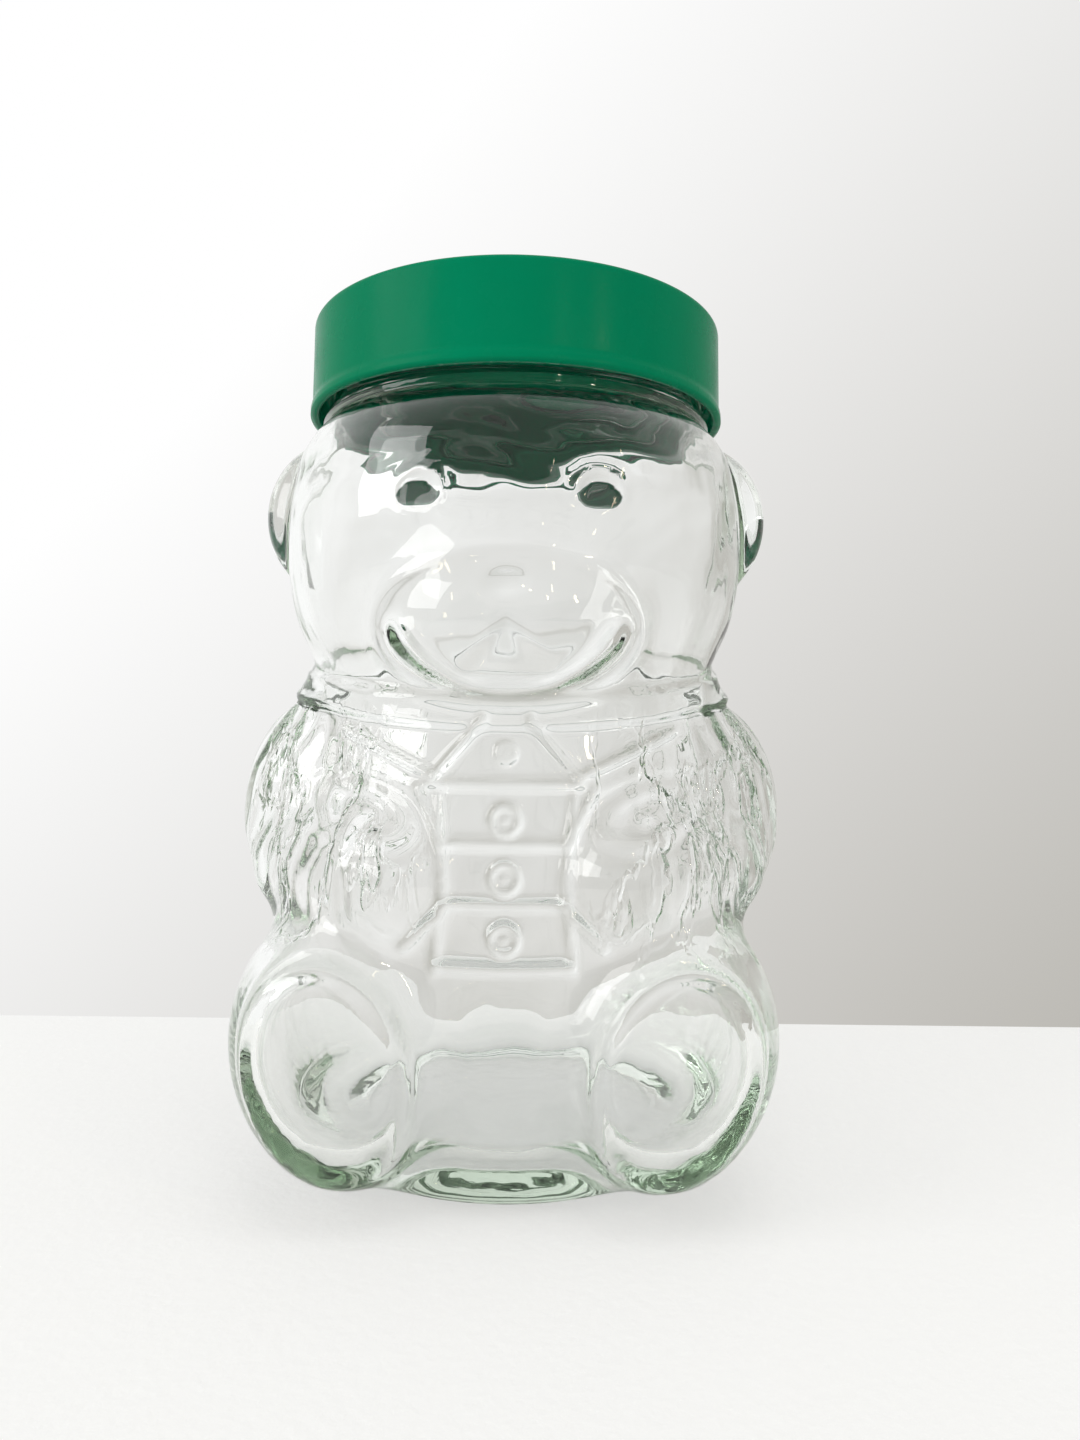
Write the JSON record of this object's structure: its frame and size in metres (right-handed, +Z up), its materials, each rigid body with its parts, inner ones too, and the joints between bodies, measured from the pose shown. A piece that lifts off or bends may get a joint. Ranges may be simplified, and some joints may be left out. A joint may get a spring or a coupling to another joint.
{
  "type": "glass storage jar",
  "caption": "Clear glass storage jar moulded as a sitting teddy bear, with a wide mouth, a green plastic screw lid and a sealing ring.",
  "frame": {"origin": "on the floor, under the middle of the jar's width and depth", "axes": "+Z up along the neck, the bear faces -Y, +X to the viewer's right"},
  "size_m": [0.117, 0.1054, 0.1775],
  "materials": {
    "jar_glass": "clear, very slightly green",
    "lid_plastic": "satin gloss green",
    "ring_rubber": "smooth dark green"
  },
  "bodies": {
    "jar": {"glass_jar": "jar_glass"},
    "ring": {"sealing_ring": "ring_rubber"},
    "lid": {"screw_lid": "lid_plastic"}
  },
  "joints": [
    {"name": "lid_rise", "type": "slide", "parent": "jar", "child": "ring", "axis": [0, 0, 1], "range_m": [0, 0.0204]},
    {"name": "lid_turn", "type": "hinge", "parent": "ring", "child": "lid", "pos_m": [0, 0.0023, 0.1669], "axis": [0, 0, 1], "range_deg": [0, 1440]}
  ],
  "couplings": [
    {"joint": "lid_rise", "follows": "lid_turn", "m_per_rad": 0.00080851}
  ]
}
